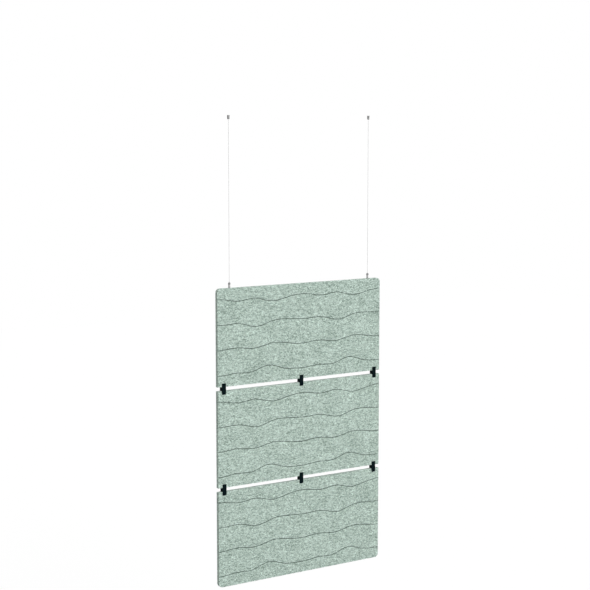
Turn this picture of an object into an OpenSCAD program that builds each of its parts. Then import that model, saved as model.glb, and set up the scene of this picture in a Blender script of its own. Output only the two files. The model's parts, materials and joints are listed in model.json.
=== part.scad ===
/* [Panels] */
// Width of each felt panel
panel_w = 1200; // [900:50:1500]
// Height of each felt panel
panel_h = 600; // [600:10:700]
// Thickness of the felt
panel_t = 24; // [22:1:30]
// Open gap between one panel and the next
panel_gap = 25; // [20:1:40]
// Radius of the four outer corners of the whole screen
corner_r = 25; // [5:1:60]

/* [Grooves] */
// Width of a groove at the face of the felt
groove_w = 4; // [2:0.5:8]
// Depth of a groove
groove_d = 4.5; // [1:0.5:8]
// Length over which the waves repeat, so that panels can hang side by side
wave_repeat = 600; // [300:50:1200]
// Scale of the swing of the waves, 0 makes them straight
wave_swing = 1; // [0:0.1:1.2]

/* [Suspension] */
// Height from the ceiling down to the top edge of the screen
drop = 1035; // [400:5:2500]
// Distance from each end of the panel to its wire
wire_inset = 90; // [80:5:150]
// Diameter of the steel wire rope
wire_d = 1.5; // [1.2:0.1:1.6]

/* [Ceiling fitting] */
// Outer diameter of the fitting
fitting_d = 15; // [15:1:20]
// Whole height of the fitting below the ceiling
fitting_h = 24; // [24:1:30]
// Height of the upper half, the base that is screwed to the ceiling
base_h = 10; // [10:1:12]
// Radius of the M6 tapped hole, at the crests of its thread
m6_r = 2.5; // [2.4:0.1:2.6]

/* [Cable gripper] */
// Diameter of the slim shank that stands on the panel
shank_d = 12; // [12:1:13]
// Diameter of the knurled head
head_d = 15; // [14:1:18]
// Travel of the release nose
release_travel = 3; // [2:0.5:3]

/* [Connectors] */
// Width of a connector
link_w = 28; // [24:1:40]
// Height of a connector's plates
link_h = 70; // [66:1:90]
// Thickness of a plate
plate_t = 2; // [2:0.5:3]
// Distance from the ends of the screen to the middle of the outer connectors
link_inset = 42; // [30:1:80]

/* [Hidden] */
$fn = 48;
step = 0.01;      // overlap of a cut past the face that it opens
chamfer = 0.4;    // broken edge of a turned part
thread_gap = 0.05; // between a thread and its hole, both drawn as plain cylinders

rows = ["upper", "lower"];
columns = ["left", "middle", "right"];
sides = ["left", "right"];

felt_colour = [0.66, 0.73, 0.70];
steel_colour = [0.62, 0.63, 0.63];
wire_colour = [0.78, 0.78, 0.77];
black_colour = [0.09, 0.09, 0.10];

// Heights of the panels' top edges, with the ceiling at zero
pitch = panel_h + panel_gap;
edge_z = [-drop, -drop - pitch, -drop - 2 * pitch];
front_y = -panel_t / 2;
back_y = panel_t / 2;
wire_x = panel_w / 2 - wire_inset;

// Grooves: depth below the panel's top edge, then the swing and the phase of three waves
grooves = [
    [79,  8.5, -140,  9.0, 145,  2.5, -65],
    [225, 11.0, 150,  8.5, -20,  2.0, 130],
    [370, 6.5,   80,  7.5, -40,  1.0,  95],
    [520, 14.5,  30,  8.5, -90,  3.5,  90]
];
wave_step = 12.5;    // length of one straight piece of a groove
wave_overrun = 6.25; // how far a groove runs past the panel's ends

// Ceiling fitting
ball_r = 3;
ball_z = -18.6;      // centre of the ball, where the wire turns
ball_seat_r = 3.05;
ball_gap = 0.3;      // from the ball to the straight length of wire
spigot_r = 5.4;
spigot_h = 5;
tap_depth = 8;
cap_fillet = 4;
mouth_r = 2;         // the mouth is a cone: its radius at the height of the ball's centre
mouth_flare_r = 3;   // and at the rim

// Cable gripper: heights above the panel's edge
shank_top = 21;
neck_top = 28;       // the neck that the head screws onto
neck_r = 5;
neck_gap = 0.1;      // above the neck, inside the head
head_rim = 30;
head_top = 34;
head_tip_r = 4.1;
head_gap = 0.2;      // round the release nose
flute_count = 24;
flute_r = 0.7;
flute_depth = 0.35;
flute_margin = 1.5;  // plain band above and below the flutes
nose_top = head_top + release_travel + 1; // where the wire bends
nose_r = 2.1;
nose_flare_r = 1.6;
nose_flare_h = 1;
cone_bottom = 9;
cone_top = 17;
cone_wide_r = 4.2;
cone_narrow_r = 2.8;
plunger_r = 2.5;
plunger_bottom = 11.5;
plunger_bore_r = 1;
slide_gap = 0.05;    // running clearance round the release nose and its balls
ball_level = 14;
grip_ball_r = 1.25;
grip_ball_out = 2.03;
flange_h = 2;
stud_r = 4;
stud_h = 16;
stud_bore_r = 1.2;
thread_r = 4.45;     // upper thread of the stud, in the body's socket
stud_top = 8;
spring_floor = 4.5;
spring_pocket_r = 3.2;
spring_r = 2;
spring_wire_r = 0.3;
spring_turns = 5;

// Wire ends
bend_gap = 0.05;     // from the bend to the straight lengths on either side
tail_h = 70;         // length of spare wire below the panel's edge
tail_hole_r = 2;
tail_hole_spare = 4; // depth of the hole past the wire's end
insert_r = 6;
insert_core_r = 5;
insert_h = 20;
barb_count = 5;

// Connectors
link_corner_r = 3;
web_wall = 2.4;
tongue_wall = 1.2;
tongue_h = 2;
tongue_gap = 0.1;
post_r = 3.5;
post_hole_r = 3.6;
post_end_gap = 0.2;
post_inset = 12;     // from the panels' edges to the middle of a post
post_z = panel_gap / 2 + post_inset;
pilot_r = 1.25;
pilot_h = 12;
screw_r = 1.2;
screw_hole_r = 1.6;
screw_head_r = 3;
screw_head_h = 1.7;
screw_h = 12;
hex_r = 1.15;
hex_h = 1.1;

link_x = [-panel_w / 2 + link_inset, 0, panel_w / 2 - link_inset];
link_z = [edge_z[1] + panel_gap / 2, edge_z[2] + panel_gap / 2];

// One wavy line: its height below the panel's edge at a distance from the panel's left end
function wave(g, x) = let (k = 360 / wave_repeat * x)
    g[0] + wave_swing * (g[1] * cos(k - g[2]) + g[3] * cos(2 * k - g[4]) + g[5] * cos(3 * k - g[6]));

// A V section carried along a wavy line, standing proud of the face so that it cuts cleanly
module groove_cutter(g) {
    proud = 1;
    half = groove_w / 2 * (1 + proud / groove_d);
    count = ceil((panel_w + 2 * wave_overrun) / wave_step);
    rings = [for (i = [0 : count]) let (x = i * wave_step - wave_overrun, z = -wave(g, x)) each [
        [x - panel_w / 2, front_y - proud, z + half],
        [x - panel_w / 2, front_y - proud, z - half],
        [x - panel_w / 2, front_y + groove_d, z]
    ]];
    walls = [for (i = [0 : count - 1], j = [0 : 2]) let (a = 3 * i + j, b = 3 * i + (j + 1) % 3)
        [a, a + 3, b + 3, b]];
    ends = [[0, 1, 2], [3 * count + 2, 3 * count + 1, 3 * count]];
    polyhedron(rings, concat(walls, ends));
}

// Outline of a panel, hanging from its top edge, with the named corners rounded
module panel_outline(round_top, round_bottom) {
    top_r = round_top ? corner_r : 0;
    bottom_r = round_bottom ? corner_r : 0;
    translate([-panel_w / 2, -panel_h + bottom_r]) square([panel_w, panel_h - top_r - bottom_r]);
    if (round_top) {
        translate([-panel_w / 2 + corner_r, -corner_r]) square([panel_w - 2 * corner_r, corner_r]);
        for (s = [-1, 1]) translate([s * (panel_w / 2 - corner_r), -corner_r]) circle(corner_r);
    }
    if (round_bottom) {
        translate([-panel_w / 2 + corner_r, -panel_h]) square([panel_w - 2 * corner_r, corner_r]);
        for (s = [-1, 1])
            translate([s * (panel_w / 2 - corner_r), -panel_h + corner_r]) circle(corner_r);
    }
}

// Felt board with its wavy grooves, the holes for the connectors' posts and the bores in its edge
module panel(i) {
    color(felt_colour) translate([0, 0, edge_z[i]]) difference() {
        translate([0, back_y, 0]) rotate([90, 0, 0]) linear_extrude(panel_t)
            panel_outline(i == 0, i == 2);
        for (g = grooves) groove_cutter(g);
        for (x = link_x) {
            if (i < 2) post_hole(x, -panel_h + post_z - panel_gap / 2);
            if (i > 0) post_hole(x, panel_gap / 2 - post_z);
        }
        if (i == 0) for (s = [-1, 1]) translate([s * wire_x, 0, 0]) {
            translate([0, 0, -insert_h]) cylinder(r = insert_r, h = insert_h + 1);
            translate([0, 0, -tail_h - tail_hole_spare]) cylinder(r = tail_hole_r, h = tail_h);
        }
    }
}

module post_hole(x, z) {
    translate([x, back_y + 1, z]) rotate([90, 0, 0]) cylinder(r = post_hole_r, h = panel_t + 2);
}

// Left is minus X, right is plus X
module at_wire(side) {
    translate([side == "left" ? -wire_x : wire_x, 0, 0]) children();
}

// The same, with the panel's top edge at zero
module at_gripper(side) {
    at_wire(side) translate([0, 0, -drop]) children();
}

// Upper half of the ceiling fitting, tapped for a stud, with a spigot that the cap screws onto
module ceiling_base(side) {
    r = fitting_d / 2;
    color(steel_colour) at_wire(side) difference() {
        rotate_extrude() polygon([
            [0, 0], [r - chamfer, 0], [r, -chamfer], [r, -base_h + chamfer], [r - chamfer, -base_h],
            [spigot_r, -base_h], [spigot_r, -base_h - spigot_h + chamfer],
            [spigot_r - chamfer, -base_h - spigot_h], [0, -base_h - spigot_h]
        ]);
        translate([0, 0, -tap_depth]) cylinder(r = m6_r, h = tap_depth + 1);
        translate([0, 0, -chamfer]) cylinder(r1 = m6_r, r2 = m6_r + 2 * chamfer, h = 2 * chamfer);
    }
}

// Lower half of the ceiling fitting: a cap with a rounded rim, a ball seat and a flared mouth
module ceiling_cap(side) {
    r = fitting_d / 2;
    color(steel_colour) at_wire(side) difference() {
        rotate_extrude() difference() {
            polygon([
                [0, -base_h], [r - chamfer, -base_h], [r, -base_h - chamfer], [r, -fitting_h],
                [0, -fitting_h]
            ]);
            translate([r - cap_fillet, -fitting_h + cap_fillet]) difference() {
                translate([0, -cap_fillet - 1]) square(cap_fillet + 1);
                circle(cap_fillet);
            }
        }
        translate([0, 0, -base_h - spigot_h]) cylinder(r = spigot_r + thread_gap, h = spigot_h + 1);
        translate([0, 0, ball_z]) cylinder(r = ball_seat_r, h = -base_h - spigot_h - ball_z + step);
        translate([0, 0, ball_z]) sphere(ball_seat_r);
        translate([0, 0, -fitting_h - step])
            cylinder(r1 = mouth_flare_r, r2 = mouth_r, h = fitting_h + ball_z);
    }
}

// Ball swaged on the top end of the wire
module wire_ball(side) {
    color(wire_colour) at_wire(side) translate([0, 0, ball_z]) sphere(ball_r);
}

// Straight, taut length of wire from the ceiling fitting to the gripper
module wire(side) {
    top = ball_z - ball_r - ball_gap;
    bottom = -drop + nose_top + wire_d / 2 + bend_gap;
    color(wire_colour) at_wire(side) translate([0, 0, bottom]) cylinder(r = wire_d / 2, h = top - bottom);
}

// The short lengths of the two wires that bend where they leave the grippers
module wire_bends() {
    for (side = sides) color(wire_colour) at_gripper(side) translate([0, 0, nose_top])
        sphere(wire_d / 2);
}

// Spare end of the wire, through the gripper and down into the panel
module wire_tail(side) {
    color(wire_colour) at_gripper(side) translate([0, 0, -tail_h])
        cylinder(r = wire_d / 2, h = tail_h + nose_top - wire_d / 2 - bend_gap);
}

// Shank of the gripper, with the taper that squeezes the balls onto the wire
module gripper_body(side) {
    r = shank_d / 2;
    color(steel_colour) at_gripper(side) difference() {
        rotate_extrude() polygon([
            [0, flange_h], [r - chamfer, flange_h], [r, flange_h + chamfer], [r, shank_top - chamfer],
            [r - chamfer, shank_top], [neck_r, shank_top], [neck_r, neck_top - chamfer],
            [neck_r - chamfer, neck_top], [0, neck_top]
        ]);
        translate([0, 0, flange_h - step])
            cylinder(r = thread_r + thread_gap, h = cone_bottom - flange_h + step);
        translate([0, 0, cone_bottom - step])
            cylinder(r1 = cone_wide_r, r2 = cone_narrow_r, h = cone_top - cone_bottom + step);
        translate([0, 0, cone_top - step]) cylinder(r = plunger_r + slide_gap, h = head_rim - cone_top);
    }
}

// Head of the gripper: a grip ring with flutes round it and a conical top
module gripper_cap(side) {
    r = head_d / 2;
    flute_h = head_rim - shank_top - 2 * flute_margin;
    color(steel_colour) at_gripper(side) difference() {
        rotate_extrude() polygon([
            [0, shank_top], [r - chamfer, shank_top], [r, shank_top + chamfer], [r, head_rim],
            [r - chamfer, head_rim + chamfer], [head_tip_r, head_top], [0, head_top]
        ]);
        translate([0, 0, shank_top - step])
            cylinder(r = neck_r + thread_gap, h = neck_top - shank_top + neck_gap);
        translate([0, 0, shank_top]) cylinder(r = plunger_r + head_gap, h = head_top);
        for (i = [0 : flute_count - 1]) rotate(i * 360 / flute_count)
            translate([r + flute_r - flute_depth, 0, shank_top + flute_margin])
                cylinder(r = flute_r, h = flute_h, $fn = 24);
    }
}

// Hollow screw that closes the gripper's body and screws into the panel's insert
module gripper_stud(side) {
    r = shank_d / 2;
    color(steel_colour) at_gripper(side) difference() {
        rotate_extrude() polygon([
            [0, -stud_h], [stud_r - 2 * chamfer, -stud_h], [stud_r, -stud_h + 2 * chamfer],
            [stud_r, 0], [r, 0], [r, flange_h - chamfer], [r - chamfer, flange_h],
            [thread_r, flange_h], [thread_r, stud_top - chamfer], [thread_r - chamfer, stud_top],
            [0, stud_top]
        ]);
        translate([0, 0, -stud_h - 1]) cylinder(r = stud_bore_r, h = stud_h + cone_bottom);
        translate([0, 0, spring_floor]) cylinder(r = spring_pocket_r, h = cone_bottom);
    }
}

// Release nose with the cage that holds the three balls round the wire
module gripper_plunger(side) {
    color(steel_colour) at_gripper(side) difference() {
        rotate_extrude() polygon([
            [0, plunger_bottom], [plunger_r, plunger_bottom], [plunger_r, head_top + 1],
            [nose_r, nose_top - chamfer], [nose_r - chamfer, nose_top], [0, nose_top]
        ]);
        translate([0, 0, plunger_bottom - 1]) cylinder(r = plunger_bore_r, h = nose_top);
        translate([0, 0, nose_top - nose_flare_h])
            cylinder(r1 = plunger_bore_r, r2 = nose_flare_r, h = nose_flare_h + step);
        for (i = [0 : 2]) rotate(i * 120) translate([0, 0, ball_level]) rotate([0, 90, 0])
            cylinder(r = grip_ball_r + slide_gap, h = 2 * plunger_r);
    }
}

// Three hard balls that bite the wire
module gripper_balls(side) {
    color(wire_colour) at_gripper(side) for (i = [0 : 2]) rotate(i * 120)
        translate([grip_ball_out, 0, ball_level]) sphere(grip_ball_r);
}

// Coil spring that keeps the cage up in the taper: one unbroken tube of wire
module gripper_spring(side) {
    ring = 6;
    per_turn = 16;
    count = spring_turns * per_turn;
    low = spring_floor + spring_wire_r;
    rise = plunger_bottom - spring_floor - 2 * spring_wire_r;
    points = [for (i = [0 : count]) let (a = i * 360 / per_turn, z = low + rise * i / count)
        for (j = [0 : ring - 1]) let (b = j * 360 / ring, out = spring_r + spring_wire_r * cos(b))
            [out * cos(a), out * sin(a), z + spring_wire_r * sin(b)]];
    walls = [for (i = [0 : count - 1], j = [0 : ring - 1])
        let (a = ring * i + j, b = ring * i + (j + 1) % ring)
        each [[a, b, b + ring], [a, b + ring, a + ring]]];
    ends = [[for (j = [ring - 1 : -1 : 0]) j], [for (j = [0 : ring - 1]) ring * count + j]];
    echo(spring_gap = rise / spring_turns - 2 * spring_wire_r);
    color(wire_colour) at_gripper(side) polyhedron(points, concat(walls, ends));
}

// Barbed, threaded sleeve pressed into the panel's top edge
module panel_insert(side) {
    barb_h = insert_h / barb_count;
    barb_r = insert_r - slide_gap;
    color("goldenrod") at_gripper(side) difference() {
        rotate_extrude() polygon(concat(
            [[0, 0]],
            [for (i = [0 : barb_count - 1]) each [
                [barb_r, -i * barb_h], [barb_r, -i * barb_h - 2 * chamfer],
                [insert_core_r, -(i + 1) * barb_h]
            ]],
            [[0, -insert_h]]
        ));
        translate([0, 0, -insert_h - 1]) cylinder(r = stud_r + thread_gap, h = insert_h + 2);
    }
}

// Places a connector's part: column 0 to 2 from the left, row 0 is the upper gap
module at_link(column, row) {
    translate([link_x[column], 0, link_z[row]]) children();
}

// Flat plate with rounded corners, its inner face on the felt at the given side
module link_plate(y) {
    translate([0, y, 0]) rotate([90, 0, 0]) linear_extrude(plate_t) {
        square([link_w - 2 * link_corner_r, link_h], center = true);
        square([link_w, link_h - 2 * link_corner_r], center = true);
        for (x = [-1, 1], z = [-1, 1])
            translate([x * (link_w / 2 - link_corner_r), z * (link_h / 2 - link_corner_r)])
                circle(link_corner_r);
    }
}

// A block centred in X and Z between two depths
module block(w, h, y0, y1) {
    translate([-w / 2, y0, -h / 2]) cube([w, y1 - y0, h]);
}

// Front half: the plate, half the web with a locating tongue, and two posts through the felt
module connector_front(column, row) {
    wall = web_wall + tongue_gap + tongue_wall;
    inner_w = link_w - 2 * wall;
    inner_h = panel_gap - 2 * wall;
    post_end = back_y - post_end_gap;
    color(black_colour) at_link(column, row) difference() {
        union() {
            link_plate(front_y);
            block(link_w, panel_gap, front_y - step, 0);
            block(inner_w + 2 * tongue_wall, inner_h + 2 * tongue_wall, -1, tongue_h);
            for (z = [-1, 1]) translate([0, post_end, z * post_z]) rotate([90, 0, 0])
                cylinder(r = post_r, h = post_end - front_y + step);
        }
        block(inner_w, inner_h, front_y + plate_t, tongue_h + 1);
        for (z = [-1, 1]) translate([0, post_end + 1, z * post_z]) rotate([90, 0, 0])
            cylinder(r = pilot_r, h = pilot_h + 1);
    }
}

// Back half: the plate with two countersunk holes and the other half of the web
module connector_back(column, row) {
    inner_w = link_w - 2 * web_wall;
    inner_h = panel_gap - 2 * web_wall;
    color(black_colour) at_link(column, row) difference() {
        union() {
            link_plate(back_y + plate_t);
            block(link_w, panel_gap, 0, back_y + step);
        }
        block(inner_w, inner_h, -1, back_y - plate_t);
        for (z = [-1, 1]) translate([0, back_y + plate_t, z * post_z]) rotate([90, 0, 0]) {
            translate([0, 0, -1]) cylinder(r = screw_hole_r, h = plate_t + 2);
            translate([0, 0, -step]) cylinder(r1 = screw_head_r + thread_gap, r2 = screw_hole_r,
                h = screw_head_h);
        }
    }
}

// The connector's two countersunk screws, driven from the back with a hexagon key
module connector_screws(column, row) {
    color(steel_colour) at_link(column, row)
        for (z = [-1, 1]) translate([0, back_y + plate_t - thread_gap, z * post_z]) rotate([90, 0, 0])
            difference() {
                union() {
                    cylinder(r1 = screw_head_r, r2 = screw_r, h = screw_head_h);
                    cylinder(r = screw_r, h = screw_h);
                }
                translate([0, 0, -1]) cylinder(r = hex_r, h = 1 + hex_h, $fn = 6);
            }
}

panel(0);  // panel_top
panel(1);  // panel_middle
panel(2);  // panel_bottom
wire_bends();
for (s = sides) {
    ceiling_base(s);
    ceiling_cap(s);
    wire_ball(s);
    wire(s);
    wire_tail(s);
    gripper_body(s);
    gripper_cap(s);
    gripper_stud(s);
    gripper_plunger(s);
    gripper_balls(s);
    gripper_spring(s);
    panel_insert(s);
}
for (r = [0, 1], c = [0 : 2]) {
    place = str(rows[r], "_", columns[c]);
    connector_front(c, r);
    connector_back(c, r);
    connector_screws(c, r);
}
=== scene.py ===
import json
import math

import bmesh
import bpy
from mathutils import Matrix, Vector, noise

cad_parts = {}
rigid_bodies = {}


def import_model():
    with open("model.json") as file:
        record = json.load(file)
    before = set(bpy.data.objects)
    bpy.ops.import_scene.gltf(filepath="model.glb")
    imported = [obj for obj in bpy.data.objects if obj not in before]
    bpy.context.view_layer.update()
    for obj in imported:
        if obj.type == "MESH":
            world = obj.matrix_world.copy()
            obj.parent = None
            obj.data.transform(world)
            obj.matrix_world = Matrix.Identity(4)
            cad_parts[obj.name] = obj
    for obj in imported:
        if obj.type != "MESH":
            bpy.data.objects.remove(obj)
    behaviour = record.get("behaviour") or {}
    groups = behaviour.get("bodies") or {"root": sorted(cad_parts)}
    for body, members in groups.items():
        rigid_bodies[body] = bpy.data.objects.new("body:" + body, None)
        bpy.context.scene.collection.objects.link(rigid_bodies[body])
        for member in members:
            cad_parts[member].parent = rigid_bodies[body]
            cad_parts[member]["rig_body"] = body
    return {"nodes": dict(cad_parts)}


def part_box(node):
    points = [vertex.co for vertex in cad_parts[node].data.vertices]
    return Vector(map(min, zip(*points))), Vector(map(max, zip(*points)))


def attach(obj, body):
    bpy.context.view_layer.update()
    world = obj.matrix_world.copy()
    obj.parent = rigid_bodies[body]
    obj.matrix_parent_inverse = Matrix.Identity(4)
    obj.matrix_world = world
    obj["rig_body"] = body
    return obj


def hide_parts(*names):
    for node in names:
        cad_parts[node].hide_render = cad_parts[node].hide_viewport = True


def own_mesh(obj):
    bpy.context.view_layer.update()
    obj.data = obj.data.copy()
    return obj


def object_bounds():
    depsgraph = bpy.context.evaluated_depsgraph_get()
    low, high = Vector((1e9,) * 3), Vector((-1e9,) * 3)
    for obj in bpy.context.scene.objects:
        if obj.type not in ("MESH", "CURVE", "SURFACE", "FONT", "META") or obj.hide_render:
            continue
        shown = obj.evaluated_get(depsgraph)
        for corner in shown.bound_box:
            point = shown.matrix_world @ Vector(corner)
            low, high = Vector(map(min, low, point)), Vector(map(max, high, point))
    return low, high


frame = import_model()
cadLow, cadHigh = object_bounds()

nodes = frame["nodes"]
sides = ["left", "right"]
links = [row + "_" + column for row in ("upper", "lower") for column in ("left", "middle", "right")]
samePoint = 0.00001  # points of a new piece that lie nearer than this become one
noiseDetail = {"smooth": 1.0, "plain": 2.0, "fine": 3.0}


# Shader maths as Python expressions: a Signal is one socket of a material's node tree

class Signal:
    def __init__(self, socket):
        self.socket = socket
        self.tree = socket.id_data

    def node(self, kind, settings, sockets, output=0):
        return addNode(self.tree, kind, settings, sockets, output)

    def maths(self, operation, first, second):
        return self.node("Math", {"operation": operation}, {0: first, 1: second})

    def __add__(self, other):
        return self.maths("ADD", self, other)

    def __radd__(self, other):
        return self.maths("ADD", other, self)

    def __sub__(self, other):
        return self.maths("SUBTRACT", self, other)

    def __rsub__(self, other):
        return self.maths("SUBTRACT", other, self)

    def __mul__(self, other):
        return self.maths("MULTIPLY", self, other)

    def __rmul__(self, other):
        return self.maths("MULTIPLY", other, self)

    def larger(self, other):
        return self.maths("MAXIMUM", self, other)

    def step(self, start, end):  # 0 up to start, 1 from end, smooth in between
        return self.node("MapRange", {"interpolation_type": "SMOOTHSTEP"},
                         {"Value": self, "From Min": start, "From Max": end})

    def cloud(self, size, turn=0.0, detail="plain", output=0):  # noise of that size, output 1 is a vector
        place = self.node("Mapping", {"vector_type": "TEXTURE"},
                          {"Vector": self, "Rotation": (0, turn, 0), "Scale": size})
        sockets = {"Vector": place, "Scale": 1.0, "Detail": noiseDetail[detail]}
        return self.node("TexNoise", {}, sockets, output)

    def moved(self, offset):  # coordinates moved by a vector pattern
        return self.node("VectorMath", {"operation": "ADD"}, {0: self, 1: offset})

    def between(self, low, high):  # the colour low where this is 0, high where it is 1, in sockets 6 and 7
        return self.node("Mix", {"data_type": "RGBA"}, {0: self, 6: low, 7: high}, 2)


def addNode(tree, kind, settings, sockets, output=0):
    node = tree.nodes.new("ShaderNode" + kind)
    for name, value in settings.items():
        setattr(node, name, value)
    for name, value in sockets.items():
        if isinstance(value, Signal):
            tree.links.new(value.socket, node.inputs[name])
        else:
            node.inputs[name].default_value = value
    return Signal(node.outputs[output])


def grey(level):
    return (level, level, level, 1.0)


def fromScreen(red, green, blue):  # a colour as seen on screen, 0 to 255, turned into the shader's
    return (*(((c / 255 + 0.055) / 1.055) ** 2.4 for c in (red, green, blue)), 1.0)


def newMaterial(name):
    material = bpy.data.materials.new(name)
    material.use_nodes = True
    material.node_tree.nodes.clear()
    return material, addNode(material.node_tree, "TexCoord", {}, {}, 3)  # output 3 is Object


def finishMaterial(material, shader):
    output = material.node_tree.nodes.new("ShaderNodeOutputMaterial")
    material.node_tree.links.new(shader.socket, output.inputs["Surface"])
    return material


def addObject(name, data):
    made = bpy.data.objects.new(name, data)
    bpy.context.scene.collection.objects.link(made)
    return made


def addMesh(name, shape):
    mesh = bpy.data.meshes.new(name)
    shape.to_mesh(mesh)
    return addObject(name, mesh)


# Camera, where the photograph was taken from

cameraValues = {
    "lens": 86.363,
    "sensor": 36,  # width in millimetres, for a square picture
    "place": (-4.7275, -7.3731, -0.0667),
    "turn": -32.447,  # degrees round the vertical
    "dip": 6.795,  # degrees below the horizon
}


def addCamera(values):
    camera = addObject("camera", bpy.data.cameras.new("camera"))
    camera.data.lens = values["lens"]
    camera.data.sensor_width = values["sensor"]
    camera.location = values["place"]
    camera.rotation_euler = (math.radians(90 - values["dip"]), 0, math.radians(values["turn"]))
    bpy.context.scene.camera = camera


addCamera(cameraValues)
print("stage: camera")


# Making a piece of the object from a bmesh

def addPiece(name, shape, material, body, standsFor, sharp=40):
    bmesh.ops.recalc_face_normals(shape, faces=shape.faces)
    for face in shape.faces:
        face.smooth = True
    for edge in shape.edges:
        edge.smooth = edge.calc_face_angle(0) < math.radians(sharp)
    piece = addMesh(name, shape)
    shape.free()
    piece.data.materials.append(material)
    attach(piece, body)
    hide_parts(*standsFor)
    return piece


def roundOff(shape, edges, radius, segments):
    bmesh.ops.bevel(shape, geom=edges, offset=radius, offset_type="OFFSET", segments=segments,
                    profile=0.5, affect="EDGES", material=-1)


def turnedSolid(shape, outline, place, steps):  # (radius, height) pairs turned round the local Z axis
    points = [shape.verts.new(place @ Vector((radius, 0, height))) for radius, height in outline]
    edges = [shape.edges.new(pair) for pair in zip(points, points[1:])]
    axis = place.to_3x3() @ Vector((0, 0, 1))
    bmesh.ops.spin(shape, geom=points + edges, cent=place.translation, axis=axis, angle=2 * math.pi,
                   steps=steps, use_merge=True)
    bmesh.ops.remove_doubles(shape, verts=shape.verts, dist=samePoint)
    bmesh.ops.recalc_face_normals(shape, faces=shape.faces)


def windRound(shape, ring, x, turns, stepsPerTurn, rise):  # carries a ring of points round the upright at x
    edges = list(dict.fromkeys(edge for vertex in ring["verts"] for edge in vertex.link_edges))
    steps = turns * stepsPerTurn
    bmesh.ops.spin(shape, geom=ring["verts"] + edges, cent=(x, 0, 0), axis=(0, 0, 1),
                   angle=2 * math.pi * turns, dvec=(0, 0, rise / steps), steps=steps)


def closeEnds(shape):
    bmesh.ops.holes_fill(shape, edges=[edge for edge in shape.edges if edge.is_boundary])


def cutOut(shape, cutter):  # takes the solid cutter out of the solid shape
    whole, hole = addMesh("whole", shape), addMesh("hole", cutter)
    cut = whole.modifiers.new("cut", "BOOLEAN")
    cut.solver = "EXACT"
    cut.object = hole
    shape.clear()
    cutter.free()
    shape.from_mesh(whole.evaluated_get(bpy.context.evaluated_depsgraph_get()).to_mesh())
    for part in (whole, hole):
        bpy.data.objects.remove(part)


# Steel of the turned fittings, brass of the inserts and the black of the screws

steelValues = {
    "dark": grey(0.20),
    "light": grey(0.33),
    "toneRange": (0.25, 0.75),  # levels of the pattern for the dark and for the light colour
    "metallic": 0.3,  # share of the mirror-like finish, the rest is matt
    "specular": 0.2,
    "roughness": 0.34,
    "roughnessSwing": 0.12,  # how much rougher the light places are than the dark ones
    "rings": (0.02, 0.02, 0.00035),  # size of the fine rings that the lathe leaves
    "ringShare": 0.6,  # of the rings in the pattern
    "ringDepth": 0.00001,
    "ringBump": 0.6,
    "stains": (0.006, 0.006, 0.009),
    "stainShare": 0.4,
}
steelFinishes = {  # what each differs in from the values above
    "satinSteel": {},
    # the gripper bodies: the satin steel painted lighter, to make up for the light from below that the
    # boards keep from them
    "bodySteelPaintedLight": {"dark": grey(0.30), "light": grey(0.48)},
    "hardSteel": {"dark": grey(0.42), "light": grey(0.50), "metallic": 0.8, "roughness": 0.2},
    "insertBrass": {"dark": (0.34, 0.22, 0.08, 1.0), "light": (0.58, 0.41, 0.17, 1.0), "metallic": 0.8},
    "blackScrew": {"dark": grey(0.02), "light": grey(0.05), "roughness": 0.4},
}


def turnedSteel(name, values):
    material, place = newMaterial(name)
    rings = place.cloud(values["rings"], detail="fine")
    stains = place.cloud(values["stains"])
    tone = (rings * values["ringShare"] + stains * values["stainShare"]).step(*values["toneRange"])
    bump = place.node("Bump", {}, {
        "Strength": values["ringBump"],
        "Distance": values["ringDepth"],
        "Height": rings,
    })
    shader = place.node("BsdfPrincipled", {}, {
        "Base Color": tone.between(values["dark"], values["light"]),
        "Metallic": values["metallic"],
        "Specular IOR Level": values["specular"],
        "Roughness": values["roughness"] - values["roughnessSwing"] / 2 + tone * values["roughnessSwing"],
        "Normal": bump,
    })
    return finishMaterial(material, shader)


metals = {name: turnedSteel(name, {**steelValues, **own}) for name, own in steelFinishes.items()}


# Bright steel of the wires

ropeFinish = {
    "dark": grey(0.16),
    "light": grey(0.35),
    "toneRange": (0.3, 0.7),
    "grain": (0.0012, 0.0012, 0.0012),
    "roughness": 0.3,
    "roughnessSwing": 0.12,
}


def ropeSteel(values):
    material, place = newMaterial("ropeSteel")
    tone = place.cloud(values["grain"], detail="fine").step(*values["toneRange"])
    shader = place.node("BsdfPrincipled", {}, {
        "Base Color": tone.between(values["dark"], values["light"]),
        "Metallic": 1.0,
        "Roughness": values["roughness"] + tone * values["roughnessSwing"],
    })
    return finishMaterial(material, shader)


wireSteel = ropeSteel(ropeFinish)


# The two wires: six strands laid round a straight core, from the ceiling to the gripper and on below it

ropeValues = {
    "strands": 6,  # each a third as thick as the wire
    "strandSides": 6,
    "turns": {"wire": (3, 5), "wire_tail": (5, 1)},  # turns that are spun, and how often they are doubled
    "stepsPerTurn": 10,
    "core": 1 / 2.6,  # thickness as a share of the wire's
    "coreSides": 8,
    "intoBall": 0.0004,  # the rope reaches on into the ball
    "intoBend": (0.0008, 0.0004),  # and into its bend at the gripper, from above and from below
    "sharp": 75,  # degrees, so that the strands shade as round
}


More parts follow.
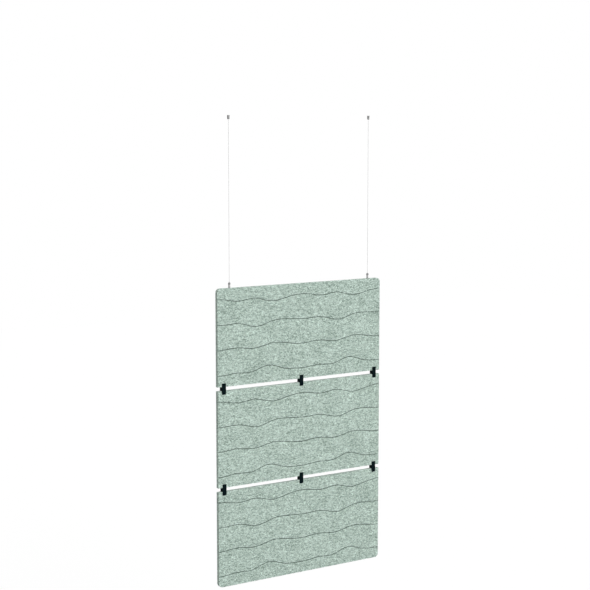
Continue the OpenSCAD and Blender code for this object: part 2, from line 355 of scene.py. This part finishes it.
def addRope(part, side, values, over, under):  # over and under: how far it goes past its CAD rod's ends
    name = part + "_" + side
    low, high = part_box(name)
    x, radius = (low.x + high.x) / 2, (high.x - low.x) / 2
    top, bottom = high.z + over, low.z - under
    turns, doublings = values["turns"][part]
    length, strandRadius = (top - bottom) / 2 ** doublings, radius / 3
    shape = bmesh.new()
    for strand in range(values["strands"]):
        angle = 2 * math.pi * strand / values["strands"]
        place = Matrix.Translation((x, 0, top)) @ Matrix.Rotation(angle, 4, "Z")
        place = place @ Matrix.Translation((radius - strandRadius, 0, 0))
        ring = bmesh.ops.create_circle(shape, segments=values["strandSides"], radius=strandRadius,
                                       matrix=place)
        windRound(shape, ring, x, turns, values["stepsPerTurn"], -length)
    for doubling in range(doublings):
        again = bmesh.ops.duplicate(shape, geom=shape.verts[:] + shape.edges[:] + shape.faces[:])["geom"]
        moved = [element for element in again if isinstance(element, bmesh.types.BMVert)]
        bmesh.ops.translate(shape, vec=(0, 0, -length * 2 ** doubling), verts=moved)
    bmesh.ops.remove_doubles(shape, verts=shape.verts, dist=samePoint)
    closeEnds(shape)
    coreRadius = radius * values["core"]
    bmesh.ops.create_cone(shape, cap_ends=True, segments=values["coreSides"], radius1=coreRadius,
                          radius2=coreRadius, depth=top - bottom,
                          matrix=Matrix.Translation((x, 0, (top + bottom) / 2)))
    rope = addPiece(name.replace("wire", "rope"), shape, wireSteel, nodes[name]["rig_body"],
                    [name], values["sharp"])
    return rope, (x, 0, top), (x, 0, bottom), 2 * radius


for side in sides:
    fromAbove, fromBelow = ropeValues["intoBend"]
    rope, top, bottom, thickness = addRope("wire", side, ropeValues, ropeValues["intoBall"], fromAbove)
    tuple(top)
    top[2] - bottom[2]
    addRope("wire_tail", side, ropeValues, fromBelow, 0)
print("stage: wires")


# Springs under the release noses: each is one fixed coil as long as its CAD part, though the real ones
# shorten as the noses are pressed

springValues = {
    "turns": 5,
    "stepsPerTurn": 32,
    "wireRadius": 0.0003,
    "wireSides": 12,
    "travel": 0.003,  # how far a nose goes down
}


def addSpring(side, values):
    name, thin = "gripper_spring_" + side, values["wireRadius"]
    low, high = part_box(name)
    x, radius = (low.x + high.x) / 2, (high.y - low.y) / 2 - thin
    shape = bmesh.new()
    place = Matrix.Translation((x + radius, 0, low.z + thin)) @ Matrix.Rotation(math.pi / 2, 4, "X")
    ring = bmesh.ops.create_circle(shape, segments=values["wireSides"], radius=thin, matrix=place)
    windRound(shape, ring, x, values["turns"], values["stepsPerTurn"], high.z - low.z - 2 * thin)
    closeEnds(shape)
    spring = addPiece("spring_" + side, shape, metals["hardSteel"], nodes[name]["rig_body"],
                      [name])
    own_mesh(spring)


for side in sides:
    addSpring(side, springValues)
print("stage: springs")


# Felt: pressed fibres, light and dark sage green, with painted shade in the grooves

feltFinish = {
    "dark": fromScreen(99, 118, 107),
    "light": fromScreen(218, 237, 227),
    "grooveShadeDark": fromScreen(4, 30, 24),  # painted shade inside the grooves
    "grooveShadeLight": fromScreen(52, 82, 71),
    "sizes": {  # of the grain in each pattern, mostly wider than high
        "drift": (0.009, 0.009, 0.009),  # which bends the fibres aside
        "strand": (0.0060, 0.0009, 0.0005),  # which frays the mottling
        "grain": (0.0076, 0.0060, 0.0042),  # the fine mottling
        "wisp": (0.0160, 0.0060, 0.0036),  # tufts of light and of dark fibres
        "smudge": (0.030, 0.014, 0.0080),
        "patch": (0.14, 0.1, 0.10),
        "fibre": (0.0055, 0.0009, 0.0005),
        "hair": (0.0026, 0.0004, 0.00024),
    },
    "turns": {  # directions in which each lies, in radians from level
        "strand": (0.12, 0.95, -0.8),
        "lightWisp": (0.1, 0.6, -0.5),
        "darkWisp": (0.0, 0.5, -0.7),
        "smudge": 0.1,
        "fibre": (0.12, 0.75, -0.7, 1.5),
        "hair": (0.4, -0.3, 1.2),
    },
    "tone": {  # the level at which each pattern leaves the tone as it is, and its weight in the tone
        "grain": (0.5, 1.65),
        "wisp": (0.0, 1.05),
        "smudge": (0.5, 0.55),
        "patch": (0.5, 0.2),
        "fibre": (0.62, 1.4),
        "hair": (0.6, 1.0),
    },
    "midTone": 0.5,
    "curl": 0.003,  # how far the drift bends the fibres aside
    "fray": 0.0055,  # how far the strands carry the mottling's edges with them
    "darkWisps": (0.37, 0.11, 0.23),  # the dark tufts are the same pattern from this far away
    "grooveShadeFray": 0.8,  # how much the fibres fray the edge of the grooves' painted shade
    "grooveShadeRange": (0.15, 0.7),
    "roughness": 0.95,
    "specular": 0.25,
    "sheen": 0.12,
    "sheenRoughness": 0.6,
    "nap": 0.0004,  # height of the fibres
    "bump": 0.7,
    "grainHeight": 0.6,  # of the mottling and of the hairs, beside 1 for the fibres
    "hairHeight": 0.5,
}


def tangle(place, size, turns):  # fibres of one size lying in several directions
    fibres = place.cloud(size, turns[0], "smooth")
    for turn in turns[1:]:
        fibres = fibres.larger(place.cloud(size, turn, "smooth"))
    return fibres


def frayed(place, strands, far):  # coordinates that strands carry aside, each its own way
    offset = place.node("VectorMath", {"operation": "MULTIPLY_ADD"},
                        {0: strands, 1: (far, far, far), 2: (-far / 2, -far / 2, -far / 2)})
    return place.moved(offset)


def sageFelt(values):
    material, place = newMaterial("sageFelt")
    sizes, turns, curl = values["sizes"], values["turns"], values["curl"]
    drift = place.cloud(sizes["drift"], detail="smooth", output=1)
    drift = place.node("VectorMath", {"operation": "MULTIPLY"}, {0: drift, 1: (curl, curl, curl)})
    bent = place.moved(drift)
    ragged = bent
    for turn in turns["strand"]:
        strands = bent.cloud(sizes["strand"], turn, "smooth", 1)
        ragged = frayed(ragged, strands, values["fray"])
    lightWisps = tangle(ragged, sizes["wisp"], turns["lightWisp"])
    darkWisps = tangle(ragged.moved(values["darkWisps"]), sizes["wisp"], turns["darkWisp"])
    patterns = {
        "grain": ragged.cloud(sizes["grain"]),
        "wisp": lightWisps - darkWisps,
        "smudge": ragged.cloud(sizes["smudge"], turns["smudge"]),
        "patch": place.cloud(sizes["patch"], detail="smooth"),
        "fibre": tangle(bent, sizes["fibre"], turns["fibre"]),
        "hair": tangle(bent, sizes["hair"], turns["hair"]),
    }
    tone = values["midTone"]
    for name, pattern in patterns.items():
        level, weight = values["tone"][name]
        tone = tone + (pattern - level) * weight
    blend = tone.step(0.0, 1.0)
    face = blend.between(values["dark"], values["light"])
    # painted shade for the grooves, with the fibres' mottling in it
    groove = blend.between(values["grooveShadeDark"], values["grooveShadeLight"])
    cut = place.node("Attribute", {"attribute_name": "cut"}, {}, 2)  # output 2 is the number, how much painted shade a groove has there
    fibres, level = patterns["fibre"], values["tone"]["fibre"][0]
    cut = (cut + (fibres - level) * values["grooveShadeFray"]).step(*values["grooveShadeRange"])
    height = fibres + patterns["grain"] * values["grainHeight"] + patterns["hair"] * values["hairHeight"]
    bump = place.node("Bump", {}, {
        "Strength": values["bump"],
        "Distance": values["nap"],
        "Height": height,
    })
    shader = place.node("BsdfPrincipled", {}, {
        # the felt's colour, with painted shade in the grooves
        "Base Color": cut.between(face, groove),
        "Roughness": values["roughness"],
        "Specular IOR Level": values["specular"],
        "Sheen Weight": values["sheen"],
        "Sheen Roughness": values["sheenRoughness"],
        "Normal": bump,
    })
    return finishMaterial(material, shader)


felt = sageFelt(feltFinish)


# Felt boards: the front is a grid whose rows follow the wavy grooves

boardValues = {
    "cornerRadius": 0.025,
    "grooveWidth": 0.004,
    "grooveDepth": 0.0045,
    "waveRepeat": 0.6,
    "grooves": [  # depth below the board's top edge, then swing and phase in degrees of three waves
        (0.079, (0.0085, -140), (0.0090, 145), (0.0025, -65)),
        (0.225, (0.0110, 150), (0.0085, -20), (0.0020, 130)),
        (0.370, (0.0065, 80), (0.0075, -40), (0.0010, 95)),
        (0.520, (0.0145, 30), (0.0085, -90), (0.0035, 90)),
    ],
    "lipRadius": 0.0006,
    "lipSteps": 3,
    "rootRadius": 0.0005,
    "rootSteps": 2,  # from the middle to each side
    "rimRadius": 0.0006,
    "rimSegments": 2,
    "margin": 0.0015,  # flat strip beside each groove, where the rim's rounding ends
    "shadeDepth": 0.00090,  # depth in a groove from which it has its full painted shade
    "shadeRim": 0.0008,  # how far that painted shade reaches round the rim
    "column": 0.003125,  # width of the grid's cells
    "cornerRows": 8,
    "bandRows": 8,  # between one groove and the next
    "postHole": 0.0036,  # radius
    "postInset": 0.012,  # from a board's edge to the middle of a hole
    "insertBore": (0.006, 0.020),  # radius and depth
    "tailBore": (0.002, 0.074),
    "boreSides": 40,
    "overcut": 0.001,  # how far what cuts a hole stands out of the felt
    "ripple": 0.00012,  # the pressed face isn't quite flat
    "rippleSize": 0.009,
}


def grooveSection(values):  # points across a groove: height from its middle, depth into the felt
    half, depth = values["grooveWidth"] / 2, values["grooveDepth"]
    lip, lipSteps = values["lipRadius"], values["lipSteps"]
    root, rootSteps = values["rootRadius"], values["rootSteps"]
    steep = math.atan2(depth, half)
    start = half + lip * math.tan(steep / 2)
    bank = [(start + values["margin"], 0)]
    for k in range(lipSteps + 1):
        angle = steep * k / lipSteps
        bank.append((start - lip * math.sin(angle), lip - lip * math.cos(angle)))
    low = depth - root / math.cos(steep)
    floor = []
    for k in range(-rootSteps, rootSteps + 1):
        angle = steep * k / rootSteps
        floor.append((-root * math.sin(angle), low + root * math.cos(angle)))
    return bank + floor + [(-height, deep) for height, deep in reversed(bank)]


def waveDepth(values, groove, distance):  # depth of a groove's middle below the board's top edge
    middle, *waves = groove
    turn = 360 * distance / values["waveRepeat"]
    for order, (swing, phase) in enumerate(waves, 1):
        middle += swing * math.cos(math.radians(order * turn - phase))
    return middle


def clearOfGrooves(values, edge, low, high):  # whether an edge of the rim lies beyond the grooves' margins
    middle = (edge.verts[0].co + edge.verts[1].co) / 2
    reach = values["grooveWidth"] / 2 + 2 * values["margin"]
    return all(abs(high.z - middle.z - waveDepth(values, groove, middle.x - low.x)) > reach
               for groove in values["grooves"])


def columnPoints(values, distance, height):  # (depth below the top edge, depth into the felt) of each row
    corner, cornerRows, bandRows = values["cornerRadius"], values["cornerRows"], values["bandRows"]
    points = [(corner * k / cornerRows, 0) for k in range(cornerRows + 1)]
    banks = []
    for groove in values["grooves"]:
        middle = waveDepth(values, groove, distance)
        banks.append([(middle - across, deep) for across, deep in grooveSection(values)])
    banks.append([(height - corner + corner * k / cornerRows, 0) for k in range(cornerRows + 1)])
    for bank in banks:
        start = points[-1][0]
        points += [(start + (bank[0][0] - start) * k / bandRows, 0) for k in range(1, bandRows)]
        points += bank
    return points


def roundCorner(along, down, corner):  # a square corner's grid pressed into a quarter circle
    u, v = along / corner, down / corner
    return u * math.sqrt(1 - v * v / 2) * corner, v * math.sqrt(1 - u * u / 2) * corner


def addFront(shape, cut, values, low, high, roundTop, roundBottom):
    width, height, corner = high.x - low.x, high.z - low.z, values["cornerRadius"]
    cells = round(width / values["column"])
    plan = [columnPoints(values, width * k / cells, height) for k in range(cells + 1)]
    last = len(plan[0]) - 1
    bmesh.ops.create_grid(shape, x_segments=cells, y_segments=last, size=0.5)  # from -0.5 to 0.5 each way
    for vertex in shape.verts:
        cell, row = round((vertex.co.x + 0.5) * cells), round((0.5 - vertex.co.y) * last)
        down, deep = plan[cell][row]
        # the grooves' painted shade grows with depth, full from shadeDepth down
        vertex[cut] = min(1, deep / values["shadeDepth"])
        across = min(high.x, low.x + width * cell / cells)
        upper = down < height / 2
        along = abs(across) - width / 2 + corner
        below = corner - down if upper else down - height + corner
        if along > 0 and below > 0 and (roundTop if upper else roundBottom):
            along, below = roundCorner(along, below, corner)
            across = math.copysign(width / 2 - corner + along, across)
            down = corner - below if upper else height - corner + below
        vertex.co = (across, low.y + deep, high.z - down)
        ripple = noise.noise(vertex.co / values["rippleSize"]) * values["ripple"]
        vertex.co.y += abs(ripple)


def addWalls(shape, cut, values, low, high):  # the edge faces and the flat back, from the front's rim
    frontRim = [edge for edge in shape.edges if edge.is_boundary]
    backRim = frontRim
    for reach in (values["shadeRim"], high.y - low.y):
        made = bmesh.ops.extrude_edge_only(shape, edges=backRim)["geom"]
        for vertex in made:
            if isinstance(vertex, bmesh.types.BMVert):
                vertex[cut] = 0
                vertex.co.y = min(high.y, max(vertex.co.y, low.y) + reach)
        backRim = [edge for edge in made if isinstance(edge, bmesh.types.BMEdge) and edge.is_boundary]
    bmesh.ops.edgeloop_fill(shape, edges=backRim)
    frontRim = [edge for edge in frontRim if clearOfGrooves(values, edge, low, high)]
    roundOff(shape, frontRim + backRim, values["rimRadius"], values["rimSegments"])
    bmesh.ops.recalc_face_normals(shape, faces=shape.faces)


def boardHoles(values, low, high):  # the holes for the connectors' posts, and the top board's two bores
    holes = bmesh.new()
    over, boreSides = values["overcut"], values["boreSides"]
    for link in links:
        plateLow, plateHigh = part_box("connector_front_" + link)
        x, z = (plateLow.x + plateHigh.x) / 2, (plateLow.z + plateHigh.z) / 2
        for height in (low.z + values["postInset"], high.z - values["postInset"]):
            if abs(height - z) < (plateHigh.z - plateLow.z) / 2:
                place = Matrix.Translation((x, 0, height)) @ Matrix.Rotation(math.pi / 2, 4, "X")
                bmesh.ops.create_cone(holes, cap_ends=True, segments=boreSides, radius1=values["postHole"],
                                      radius2=values["postHole"], depth=high.y - low.y + 2 * over,
                                      matrix=place)
    for side in sides:
        insertLow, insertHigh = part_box("panel_insert_" + side)
        if abs(insertHigh.z - high.z) < over:
            place = Matrix.Translation(((insertLow.x + insertHigh.x) / 2, 0, high.z))
            (wide, short), (narrow, long) = values["insertBore"], values["tailBore"]
            outline = [(0, over), (wide, over), (wide, -short)]
            outline += [(narrow, -short), (narrow, -long), (0, -long)]
            turnedSolid(holes, outline, place, boreSides)
    return holes


def addBoard(name, values, roundTop, roundBottom):
    low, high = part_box(name)
    shape = bmesh.new()
    cut = shape.verts.layers.float.new("cut")  # 1 inside a groove, where the material paints the groove's shade
    addFront(shape, cut, values, low, high, roundTop, roundBottom)
    addWalls(shape, cut, values, low, high)
    cutOut(shape, boardHoles(values, low, high))
    addPiece("felt_" + name, shape, felt, nodes[name]["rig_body"], [name])


addBoard("panel_top", boardValues, True, False)
addBoard("panel_middle", boardValues, False, False)
addBoard("panel_bottom", boardValues, False, True)
print("stage: felt boards")


# Black moulded plastic of the connectors

plasticFinish = {
    "dark": (0.0021, 0.0063, 0.0076, 1.0),
    "light": (0.0035, 0.0088, 0.0106, 1.0),
    "grain": (0.0004, 0.0004, 0.0004),
    "grainDepth": 0.00003,
    "grainBump": 0.5,
    "wear": (0.012, 0.012, 0.012),
    "wearRange": (0.35, 0.75),
    "roughness": 0.6,
    "wearRoughness": 0.1,  # more where it is worn
    "specular": 0.02,
}


def blackPlastic(values):
    material, place = newMaterial("blackPlastic")
    wear = place.cloud(values["wear"], detail="fine").step(*values["wearRange"])
    bump = place.node("Bump", {}, {
        "Strength": values["grainBump"],
        "Distance": values["grainDepth"],
        "Height": place.cloud(values["grain"]),
    })
    shader = place.node("BsdfPrincipled", {}, {
        "Base Color": wear.between(values["dark"], values["light"]),
        "Roughness": values["roughness"] + wear * values["wearRoughness"],
        "Specular IOR Level": values["specular"],
        "Normal": bump,
    })
    return finishMaterial(material, shader)


plastic = blackPlastic(plasticFinish)


# Hard pieces of the CAD model: their edges are broken a little, and each gets its finish

edgeValues = {
    "moulded": 0.00045,
    "turned": 0.00012,
    "segments": 3,
    "sharp": 35,  # degrees between two faces from which their edge is broken
    "flat": 1,  # degrees between two faces up to which they become one
    "weld": 0.000001,
}


def dress(name, material, edge=0.0):
    node = nodes[name]
    node.data.materials.clear()
    node.data.materials.append(material)
    if edge:
        weld = node.modifiers.new("weld", "WELD")
        weld.merge_threshold = edgeValues["weld"]
        flat = node.modifiers.new("flat", "DECIMATE")
        flat.decimate_type = "DISSOLVE"
        flat.angle_limit = math.radians(edgeValues["flat"])
        soft = node.modifiers.new("soft", "BEVEL")
        soft.width = edge
        soft.segments = edgeValues["segments"]
        soft.limit_method = "ANGLE"
        soft.angle_limit = math.radians(edgeValues["sharp"])
        soft.harden_normals = True


dress("wire_bends", wireSteel)
for side in sides:
    dress("panel_insert_" + side, metals["insertBrass"])
    for name in ("wire_ball_", "gripper_balls_"):
        dress(name + side, metals["hardSteel"])
    # the gripper bodies get steel painted lighter, for the light that the boards keep from them
    dress("gripper_body_" + side, metals["bodySteelPaintedLight"], edgeValues["turned"])
    for name in ("ceiling_base_", "ceiling_cap_", "gripper_cap_", "gripper_stud_", "gripper_plunger_"):
        dress(name + side, metals["satinSteel"], edgeValues["turned"])
for link in links:
    dress("connector_front_" + link, plastic, edgeValues["moulded"])
    dress("connector_back_" + link, plastic, edgeValues["moulded"])
    dress("connector_screws_" + link, metals["blackScrew"])
print("stage: fittings and connectors")


# Studio: a pale floor, an even surround and three broad lamps

studioValues = {
    "surround": 0.30,  # level of the light from all round
    "floorDrop": 0.75,  # from the object's lowest point to the floor
    "floorSize": 16,
    "floorTone": 0.5,  # as it lights the object
    "floorGlow": 1.13,  # the floor's own light, which only the camera and reflections see
    "glowShare": 0.8,  # of what they see there, and the rest is the lit floor with its shadow
    "lamps": {  # strength, angle in degrees, direction of the light
        "key": (2.35, 50, (-0.33, 0.90, -0.28)),
        "fill": (1.75, 60, (0.01, -0.96, -0.25)),
        "top": (1.0, 40, (0.0, 0.05, -1.0)),
    },
}


def seenDirectly(tree):  # 1 where the camera, a reflection or a refraction looks, 0 for the light on things
    outputs = addNode(tree, "LightPath", {}, {}).socket.node.outputs
    camera, glossy, through = (Signal(outputs[name]) for name in
                               ("Is Camera Ray", "Is Glossy Ray", "Is Transmission Ray"))
    return camera.larger(glossy).larger(through)


def addWorld(values):
    world = bpy.data.worlds.new("studio")
    bpy.context.scene.world = world
    world.use_nodes = True
    tree = world.node_tree
    tree.nodes.clear()
    dim = addNode(tree, "Background", {}, {"Color": grey(1.0), "Strength": values["surround"]})
    white = addNode(tree, "Background", {}, {"Color": grey(1.0), "Strength": 1.0})
    mixed = addNode(tree, "MixShader", {}, {0: seenDirectly(tree), 1: dim, 2: white})
    tree.links.new(mixed.socket, tree.nodes.new("ShaderNodeOutputWorld").inputs["Surface"])


def addFloor(values):
    material, place = newMaterial("paleFloor")
    paint = place.node("BsdfDiffuse", {}, {"Color": grey(values["floorTone"])})
    glow = place.node("Emission", {}, {"Color": grey(1.0), "Strength": values["floorGlow"]})
    share = seenDirectly(material.node_tree) * values["glowShare"]
    finishMaterial(material, place.node("MixShader", {}, {0: share, 1: paint, 2: glow}))
    shape = bmesh.new()
    bmesh.ops.create_grid(shape, x_segments=1, y_segments=1, size=values["floorSize"],
                          matrix=Matrix.Translation((0, 0, cadLow.z - values["floorDrop"])))
    floor = addMesh("floor", shape)
    shape.free()
    floor.data.materials.append(material)


def addLamp(name, strength, angle, direction):
    lamp = addObject(name, bpy.data.lights.new(name, "SUN"))
    lamp.data.energy = strength
    lamp.data.angle = math.radians(angle)
    lamp.rotation_euler = Vector(direction).to_track_quat("-Z", "Y").to_euler()


addWorld(studioValues)
addFloor(studioValues)
for lampName, lampValues in studioValues["lamps"].items():
    addLamp(lampName, *lampValues)
bpy.context.scene.view_settings.view_transform = "Standard"
print("stage: studio")

bpy.context.view_layer.update()
